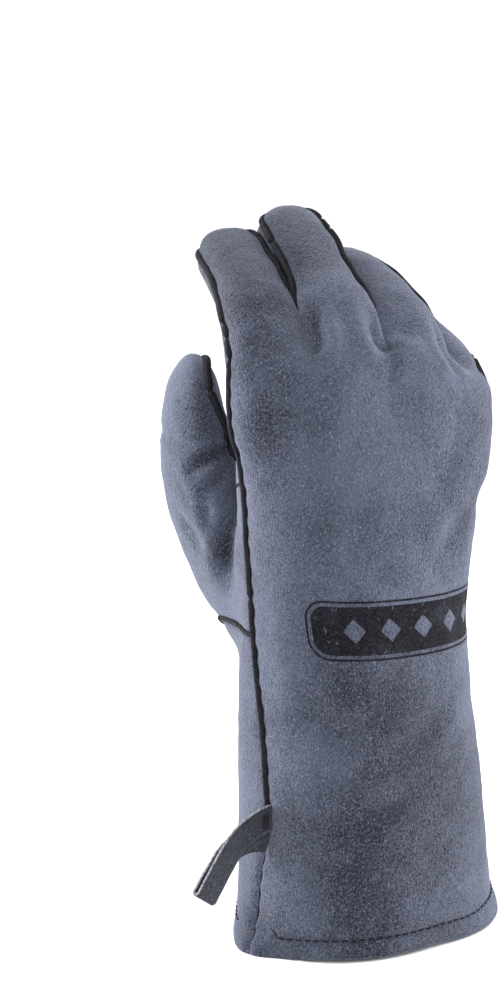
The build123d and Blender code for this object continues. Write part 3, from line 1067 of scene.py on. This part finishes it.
def suede(name, dark, light, nap, sheen=0.42):
    paint = Paint(name)
    colour, grain, cloud = suede_colour(paint, dark, light, nap)
    lumps = paint.bump(cloud, 0.0012, 0.35)
    paint.feed(paint.shader, {
        "Base Color": colour, "Roughness": 0.95, "Specular IOR Level": 0.12,
        "Sheen Weight": sheen, "Sheen Roughness": 0.42, "Sheen Tint": (0.72, 0.77, 0.95),
        "Normal": paint.bump(grain, 0.0004, 0.75, lumps),
    })
    return paint.material


def plain(name, dark, light, scale, roughness, bump_depth, sheen=0.0):
    """Threads, piping, lining and cut edges: two tones of one colour with a fine grain."""
    paint = Paint(name)
    grain = paint.noise(scale, 3.0, 0.6)
    paint.feed(paint.shader, {
        "Base Color": paint.mix(paint.ramp(grain, 0.3, 0.7), dark, light),
        "Roughness": roughness, "Specular IOR Level": 0.1, "Sheen Weight": sheen,
        "Normal": paint.bump(grain, bump_depth, 0.7),
    })
    return paint.material


SUEDE_DARK = (0.008, 0.010, 0.018)
SUEDE_LIGHT = (0.078, 0.089, 0.128)
SUEDE_NAP = (0.230, 0.250, 0.325)
BLACKS = ((0.003, 0.003, 0.005), (0.013, 0.013, 0.018))
leather = suede("suede", SUEDE_DARK, SUEDE_LIGHT, SUEDE_NAP)
gusset_leather = suede("gusset_suede", (0.020, 0.023, 0.034), (0.095, 0.105, 0.140), SUEDE_NAP)
cut_edge = plain("leather_cut_edge", (0.060, 0.066, 0.088), (0.170, 0.18, 0.22), 900.0, 0.95, 0.0003)
piping = plain("black_piping", *BLACKS, 700.0, 0.7, 0.0003)
cotton = plain("cotton_lining", (0.30, 0.285, 0.25), (0.46, 0.44, 0.39), 500.0, 0.95, 0.0005, 0.3)
thread = plain("black_thread", *BLACKS, 1500.0, 0.6, 0.0002)
strap_leather = suede(
    "strap_leather", (0.008, 0.008, 0.012), (0.040, 0.041, 0.052), (0.12, 0.125, 0.145), 0.2
)
strap_edge = plain("strap_cut_edge", (0.08, 0.08, 0.095), (0.28, 0.28, 0.31), 900.0, 0.9, 0.0003)


def attach(piece, body, slot, *nodes):
    """Fix a piece on the hand to its body; a digit's piece is left where it stands, with its transform
    baked in.
    """
    if body in BODY_PLANES:
        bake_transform(piece)
    else:
        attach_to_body(piece, body)
    if nodes:
        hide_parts(*nodes)


OWN_REACH = 6.0               # a finger's own leather lies no further than this from its plain shape
BOX_MARGIN = 27.0             # room round a digit's centre line for its own surface
CELL = SKIN_CELL * 1.0
HAND_CUTS = ("hem", "row", "side", "wrist", "palm", "finger", "root", "thumb", "gusset")
FINGER_CUTS = ("finger", "side", "gusset")
HAND_LOW = np.array([-84.0, -58.0, -6.0])
HAND_HIGH = np.array([84.0, 96.0, 292.0])
hand_skin = Skin(surface_distance, CELL, 0.0, HAND_LOW, HAND_HIGH, HAND_CUTS)


def finger_skin(finger, cell, level, names):
    """A finger's own surface, from a little below its hinge up to its tip."""
    line = DIGITS[finger].line
    low = line.min(axis=0) - BOX_MARGIN
    low[2] = rest_hinge(finger + "_knuckle")[2] - 30.0
    high = line.max(axis=0) + BOX_MARGIN
    return Skin(finger_distance(finger), cell, level, low, high, names, finger)


finger_skins = {finger: finger_skin(finger, CELL, 0.0, FINGER_CUTS) for finger in FINGERS}
thumb_low = DIGITS["thumb"].line.min(axis=0) - BOX_MARGIN
thumb_low[2] = BODY_PLANES["thumb"][0][2] - 16.0
thumb_high = DIGITS["thumb"].line.max(axis=0) + BOX_MARGIN
thumb_skin = Skin(thumb_distance, CELL, 0.0, thumb_low, thumb_high, ("thumb", "outer"))

inside = hand_skin.middle
on_root = inside["root"] > 0
on_hand = (inside["finger"] < 0) & ~(on_root & (inside["thumb"] > 0))
palm_side = on_hand & (inside["side"] >= 0)
below_wrist = inside["wrist"] < 0
above_seam = inside["palm"] > 0


def own_finger(skin, finger):
    """The faces past the plane where the leather starts to follow a finger."""
    return (skin.middle["finger"] > 0) & (DIGITS[finger].distance(skin.centre) < OWN_REACH)


def panel(name, skin, mask, body, *nodes, slot="suede", material=leather):
    """One leather panel: a closed sheet over the faces that mask picks."""
    piece = shell(name, skin, skin.where(mask), 0.0, LEATHER, [material, cut_edge])
    attach(piece, body, slot, *nodes)


palm_hand = palm_side & ~below_wrist
for name, mask, node in (
    ("leather_back", on_hand & ~palm_side, "back_panel"),
    ("leather_cuff_front", palm_side & below_wrist, "cuff_front_panel"),
    ("leather_thumb_root", palm_hand & on_root, "thumb_root_panel"),
    ("leather_palm_heel", palm_hand & ~on_root & ~above_seam, "palm_heel_panel"),
    ("leather_upper_palm", palm_side & above_seam & ~on_root, "upper_palm_panel"),
):
    panel(name, hand_skin, mask, "hand", node)

for finger, skin in finger_skins.items():
    part = skin.middle
    mine = own_finger(skin, finger)
    back = mine & (part["side"] < 0)
    front = mine & (part["side"] >= 0)
    side_strip = part["gusset"] > 0
    middle_x = DIGITS[finger].locate(skin.centre)[1]
    panel(f"leather_{finger}_back", skin, back, finger, f"{finger}_back", f"{finger}_knuckle_sleeve")
    panel(f"leather_{finger}_front", skin, front & ~side_strip, finger, f"{finger}_front")
    for side, beyond in (("thumb_side", middle_x < 0), ("little_side", middle_x >= 0)):
        node = f"{finger}_gusset_{side}"
        if node in frame["nodes"]:
            panel(f"leather_{node}", skin, front & side_strip & beyond, finger, node,
                  slot="gusset_suede", material=gusset_leather)

thumb_part = thumb_skin.middle["thumb"] > 0
outer_part = thumb_part & (thumb_skin.middle["outer"] < 0)
panel("leather_thumb_outer", thumb_skin, outer_part, "thumb", "thumb_outer_panel",
      "thumb_knuckle_sleeve")
panel("leather_thumb_inner", thumb_skin, thumb_part & ~outer_part, "thumb", "thumb_inner_panel")


def lining(name, skin, mask, body, *nodes):
    """One piece of the cotton lining, inside the leather."""
    piece = shell(name, skin, skin.where(mask), 0.0, LINING, [cotton])
    attach(piece, body, "lining", *nodes)


hand_lining = Skin(
    surface_distance, LINING_CELL, -LINING_DEPTH, np.array([-84.0, -58.0, -8.0]),
    np.array([84.0, 96.0, 326.0]), ("hem", "finger", "root", "thumb"),
)
thumb_lining = Skin(thumb_distance, LINING_CELL, -LINING_DEPTH, thumb_low, thumb_high, ("thumb",))
within = hand_lining.middle
in_hand = (within["finger"] < 0) & ~((within["root"] > 0) & (within["thumb"] > 0))
lining("lining_hand", hand_lining, in_hand & (within["hem"] > LINING_EDGE), "hand",
       "cuff_lining", "hand_lining")
for finger in FINGERS:
    skin = finger_skin(finger, LINING_CELL, -LINING_DEPTH, ("finger",))
    lining(f"lining_{finger}", skin, own_finger(skin, finger), finger, f"{finger}_lining")
lining("lining_thumb", thumb_lining, thumb_lining.middle["thumb"] > 0, "thumb", "thumb_lining")


# ---------------------------------------------------------------- welts, hem and stitches
LOOP_TOP = 60.0               # the side seams have no piping below this
HAND_MIDDLE = 4.0             # the side seams lie on either side of this, in X
CUFF_SEAM = 0.5               # radius of the plain seam there
CUFF_SEAM_SINK = 0.3


def sew(name, skin, field, mask, body, radius, *nodes):
    """Piping along a seam, between the faces that mask picks."""
    runs = seam_runs(skin, field, mask)
    attach(welt(name, skin, runs, piping, radius), body, "welt", *nodes)


above_loop = hand_skin.centre[:, 2] > LOOP_TOP
thumb_side = hand_skin.centre[:, 0] < HAND_MIDDLE
sew("welt_thumb_side", hand_skin, "side", on_hand & thumb_side & above_loop, "hand",
    WELT_RADIUS, "thumb_side_welt")
sew("welt_little_side", hand_skin, "side", on_hand & ~thumb_side & above_loop, "hand",
    WELT_RADIUS, "little_side_welt")
sew("welt_wrist", hand_skin, "wrist", palm_side, "hand", WRIST_WELT, "wrist_welt")
sew("welt_palm", hand_skin, "palm", palm_side & ~on_root, "hand", PALM_WELT)
sew("welt_thumb_root", hand_skin, "root", palm_hand, "hand", PALM_WELT)
for finger, skin in finger_skins.items():
    mine = own_finger(skin, finger)
    sew(f"welt_{finger}", skin, "side", mine, finger, FINGER_WELT, f"{finger}_welt")
# the thumb's piping, widened so that it also serves as the painted shadow in the gap between its
# panels
sew("welt_thumb", thumb_skin, "outer", thumb_part, "thumb", THUMB_WELT_AND_SHADE, "thumb_welt")
runs = seam_runs(hand_skin, "side", on_hand & ~above_loop)
cuff_seam = welt("seam_cuff_sides", hand_skin, runs, thread, CUFF_SEAM, CUFF_SEAM_SINK)
attach(cuff_seam, "hand", "thread", "cuff_side_seam")

STITCH = 3.0                  # a stitch's length
STITCH_GAP = 1.0
THREAD_RADIUS = 0.36
LOOSE_RADIUS = 0.32
HEM_DEPTH = 1.3               # the turned band lies inside the leather, this thick
HEM_BEAD = 1.45               # radius of the fold at the cuff's edge
HEM_BEAD_SINK = 1.6
LONG_RUN = 40.0               # shorter runs on the hem are stray ones


def dashes(name, skin, runs, material):
    """A row of stitches: short bowed threads end to end along a run on the leather."""
    parts = []
    spots = np.linspace(0, 1, 6)[:, None]
    for run in runs:
        line = surface_line(skin, run, STITCH + STITCH_GAP)
        for here, there in zip(line[:-1], line[1:]):
            piece = here + (there - here) * spots * (STITCH / (STITCH + STITCH_GAP))
            up = unit(piece[:, 3:])
            wobble = 0.22 * noise.noise(Vector(here[:3] / 3.0))
            centre = piece[:, :3] + up * (0.25 + 0.35 * np.sin(pi * spots)) + wobble * UP
            parts.append(tube(centre, up, THREAD_RADIUS, THREAD_RADIUS, 6))
    points, faces = join_meshes(parts)
    return new_object(name, points, faces, [material])


turned = hand_skin.where(inside["row"] < 0)
band = shell("hem_turned_band", hand_skin, turned, LEATHER - 0.05, LEATHER + HEM_DEPTH,
             [leather, cut_edge])
attach(band, "hand", "suede", "hem_band")
everywhere = np.ones(len(hand_skin.faces), bool)
runs = seam_runs(hand_skin, "hem", everywhere, LONG_RUN)
attach(welt("hem_fold", hand_skin, runs, leather, HEM_BEAD, HEM_BEAD_SINK), "hand", "suede")
runs = seam_runs(hand_skin, "row", everywhere, LONG_RUN)
attach(dashes("hem_stitch_row", hand_skin, runs, thread), "hand", "thread", "hem_stitches")
along_row = np.concatenate([hand_skin.points[run] for run in runs])
start = along_row[np.argmin(np.linalg.norm(along_row - LOOSE_THREAD, axis=1))]
share = np.linspace(0, 1, 9)[:, None]
loose_end = start + share * (-2.4, -1.6, 4.8) + np.sin(pi * share) * (0.5, -0.5, 0.0)
outward = np.tile((-0.5, -0.8, 0.0), (9, 1))
points, faces = tube(loose_end, outward, LOOSE_RADIUS, LOOSE_RADIUS, 6)
attach(new_object("loose_thread_end", points, faces, [thread]), "hand", "thread")


# ---------------------------------------------------------------- hanging loop
LOOP_WIDTH = 12.0
LOOP_THICKNESS = 1.35
LOOP_ROOT = np.array([-49.0, -22.0, 61.5])
LOOP_TURN = radians(20.0)     # the loop leaves the seam in this direction, towards the back
LOOP_OUT = np.array([-cos(LOOP_TURN), -sin(LOOP_TURN), 0.0])
LOOP_SIDE = np.array([-sin(LOOP_TURN), cos(LOOP_TURN), 0.0])
LOOP_SEWN = 3.0               # length of the strap inside the seam
LOOP_BEND = radians(53.0)     # it droops by this much on a curve, then hangs straight
LOOP_RADIUS = 32.0
LOOP_STRAIGHT = 17.5
LOOP_FOLD = 1.5               # radius of the fold at the loop's far end
LOOP_GAP = 0.8                # half the distance between the two layers' middles at the seam
LOOP_PARTING = 11.0           # how far the far layer hangs below the near one at the seam
STRAP_CORNER = 0.3            # its cut edges are rounded off by this
BAR_HALF = 4.0                # half length of the rows of stitches across the strap
BAR_PITCH = 1.2
BAR_THREAD = 0.28


def loop_path():
    """Down the near layer, round the fold and back up the far layer, with the width's direction."""
    arc = LOOP_RADIUS * LOOP_BEND
    near, widths, far = [], [], []
    for s in np.linspace(0, arc + LOOP_STRAIGHT, 36):
        angle = min(s / LOOP_RADIUS, LOOP_BEND)
        more = max(s - arc, 0)
        share = s / (arc + LOOP_STRAIGHT)
        out = LOOP_RADIUS * sin(angle) + more * cos(angle) - LOOP_SEWN
        drop = LOOP_RADIUS * (1 - cos(angle)) + more * sin(angle)
        place = LOOP_ROOT + out * LOOP_OUT - drop * UP
        gap = LOOP_GAP + (LOOP_FOLD - LOOP_GAP) * share + 0.3 * sin(pi * share)
        lower = LOOP_PARTING * (1 - share) ** 2
        near.append(place - gap * LOOP_SIDE)
        far.append(place + gap * LOOP_SIDE - lower * UP)
        widths.append(sin(angle) * LOOP_OUT + cos(angle) * UP)
    travel = cos(LOOP_BEND) * LOOP_OUT - sin(LOOP_BEND) * UP
    end = (near[-1] + far[-1]) / 2
    fold = [
        end + LOOP_FOLD * (sin(angle) * travel - cos(angle) * LOOP_SIDE)
        for angle in np.linspace(0, pi, 11)[1:-1]
    ]
    line = near + fold + far[::-1]
    return np.array(line), np.array(widths + [widths[-1]] * len(fold) + widths[::-1])


def ribbon(points, widths, width, thickness):
    """A flat strap along a path with rounded edges: points, faces, and slot 1 on its cut edges."""
    tangent = unit(np.gradient(points, axis=0))
    across = unit(widths - np.sum(widths * tangent, axis=1, keepdims=True) * tangent)
    high = np.cross(tangent, across)
    w = width / 2
    t = thickness / 2
    corner = STRAP_CORNER
    profile = [(-w + corner, -t)]
    profile += [(x, -t) for x in np.linspace(-w + corner, w - corner, 7)[1:]]
    profile += [(w, -t + corner), (w, t - corner)]
    profile += [(x, t) for x in np.linspace(w - corner, -w + corner, 7)]
    profile += [(-w, t - corner), (-w, -t + corner)]
    sides = len(profile)
    verts = []
    for n, point in enumerate(points):
        ripple = 0.25 * noise.noise(Vector(point / 8.0))
        for x, y in profile:
            verts.append(point + x * across[n] + (y + ripple) * high[n])
    at_edge = [abs(x) > w - corner - 1e-6 for x, _ in profile]
    ring_slots = [int(at_edge[k] and at_edge[(k + 1) % sides]) for k in range(sides)]
    slots = ring_slots * (len(points) - 1) + [1, 1]
    return np.array(verts), tube_faces(len(points), sides), slots


path, widths = loop_path()
points, faces, slots = ribbon(path, widths, LOOP_WIDTH, LOOP_THICKNESS)
strap = new_object("loop_folded_strap", points, faces, [strap_leather, strap_edge], slots=slots)


def attach_loop(piece, slot, *nodes):
    """The loop's root stays sewn in the seam; the piece is left where it is built, with its transform
    baked in.
    """
    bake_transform(piece)
    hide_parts(*nodes)


attach_loop(strap, "strap", "loop_strap")

parts = []
across = np.linspace(-BAR_HALF, BAR_HALF, 9)[:, None] * UP
lift = LOOP_THICKNESS * 1.15
for n in (-0.5, 0.5, 1.5):
    place = path[3] + LOOP_OUT * BAR_PITCH * n
    for side, height in ((-1, -lift - 0.4), (1, lift)):
        row = place + across + LOOP_SIDE * height
        parts.append(tube(row, np.tile(LOOP_SIDE * side, (9, 1)), BAR_THREAD, BAR_THREAD, 6))
points, faces = join_meshes(parts)
attach_loop(new_object("loop_bar_stitches", points, faces, [thread]), "thread", "loop_stitches")


# ---------------------------------------------------------------- print on the back of the cuff
def ink(name, dark, light):
    """Worn black ink: the leather's nap shows through in specks, and in a faint haze."""
    paint = Paint(name)
    base, grain, _ = suede_colour(paint, SUEDE_DARK, SUEDE_LIGHT, SUEDE_NAP)
    specks = paint.ramp(paint.noise(520.0, 2.0, 0.7, offset=2.0), 0.62, 0.74)
    haze = paint.ramp(paint.noise(60.0, 2.0, 0.6, offset=6.0), 0.5, 0.85, 0.0, 0.3)
    tone = paint.mix(paint.ramp(grain, 0.3, 0.8), dark, light)
    paint.feed(paint.shader, {
        "Base Color": paint.mix(paint.math("MAXIMUM", specks, haze), tone, base),
        "Roughness": 0.9, "Specular IOR Level": 0.1, "Normal": paint.bump(grain, 0.0003, 0.6),
    })
    return paint.material


worn_ink = ink("worn_black_ink", (0.004, 0.004, 0.006), (0.016, 0.016, 0.022))


class PrintSkin(Skin):
    """The skin under the print, cut along the outlines of its shapes."""

    def all_fields(self, points, owner):
        return print_fields(points)


print_skin = PrintSkin(
    surface_distance, PRINT_CELL, 0.0, np.array([-70.0, -58.0, BADGE_MIDDLE - 20]),
    np.array([70.0, 20.0, BADGE_MIDDLE + 20]), ("edge", "rim", "inner", "marks"),
)
edge, rim, inner, marks = (print_skin.middle[name] for name in print_skin.names)
printed = ((edge < 0) & (rim > 0)) | ((inner < 0) & (marks > 0))
badge = shell("print_band", print_skin, print_skin.where(printed), -0.12, 0.3, [worn_ink])
attach(badge, "hand", "print", "badge_print")


# ---------------------------------------------------------------- stage
AZIMUTH = radians(-20.0)      # the side and height that the photo was taken from
ELEVATION = radians(15.0)
CAMERA_DISTANCE = 1.340       # in metres from here on
LENS = 110.0
LOOK_AT = (-0.0448, 0.1900)   # the picture's middle, along its own right and up
FLOOR_HALF = 30.0
FLOOR_GREY = 0.95
WORLD_LIGHT = 1.08
VIEW_RIGHT = Vector((cos(AZIMUTH), sin(AZIMUTH), 0.0))
TOWARDS_CAMERA = Vector(
    (sin(AZIMUTH) * cos(ELEVATION), -cos(AZIMUTH) * cos(ELEVATION), sin(ELEVATION))
)
VIEW_UP = TOWARDS_CAMERA.cross(VIEW_RIGHT)
GLOVE_MIDDLE = Vector((0.0, 0.0, 0.16))
# Each light: distance to the picture's right, towards the camera and up; size; power
LIGHTS = {
    "left_softbox": (-1.0, -0.25, 0.3, (0.5, 1.2), 26.0),
    "right_softbox": (1.0, -0.2, 0.2, (0.5, 1.2), 24.0),
    "top_key": (-0.5, 0.7, 1.0, (0.5, 0.5), 7.0),
}


def add_to_scene(name, data):
    thing = bpy.data.objects.new(name, data)
    bpy.context.scene.collection.objects.link(thing)
    return thing


def aim(direction):
    """The turn that points a camera or light along a direction."""
    return direction.to_track_quat("-Z", "Y").to_euler()


def floor():
    """A pale floor under the glove's cuff."""
    s = FLOOR_HALF
    mesh = bpy.data.meshes.new("floor")
    mesh.from_pydata([(-s, -s, 0), (s, -s, 0), (s, s, 0), (-s, s, 0)], [], [(0, 1, 2, 3)])
    paint = Paint("pale_floor")
    paint.feed(paint.shader, {"Base Color": (FLOOR_GREY,) * 3, "Roughness": 0.9})
    mesh.materials.append(paint.material)
    add_to_scene("floor", mesh)


def camera():
    data = bpy.data.cameras.new("camera")
    data.lens = LENS
    data.sensor_width = 36.0
    view = add_to_scene("camera", data)
    target = VIEW_RIGHT * LOOK_AT[0] + VIEW_UP * LOOK_AT[1]
    view.location = target + TOWARDS_CAMERA * CAMERA_DISTANCE
    view.rotation_euler = aim(-TOWARDS_CAMERA)
    bpy.context.scene.camera = view


def world():
    shade = bpy.data.worlds.new("studio")
    shade.use_nodes = True
    background = shade.node_tree.nodes["Background"]
    background.inputs["Color"].default_value = (1.0, 1.0, 1.0, 1.0)
    background.inputs["Strength"].default_value = WORLD_LIGHT
    bpy.context.scene.world = shade


floor()
camera()
world()
for name, (right, forward, up, size, power) in LIGHTS.items():
    data = bpy.data.lights.new(name, "AREA")
    data.shape = "RECTANGLE"
    data.size, data.size_y = size
    data.energy = power
    light = add_to_scene(name, data)
    place = GLOVE_MIDDLE + VIEW_RIGHT * right + TOWARDS_CAMERA * forward + Vector((0, 0, up))
    light.location = place
    light.rotation_euler = aim(GLOVE_MIDDLE - place)

scene = bpy.context.scene
scene.view_settings.view_transform = "Standard"
scene.view_settings.look = "None"
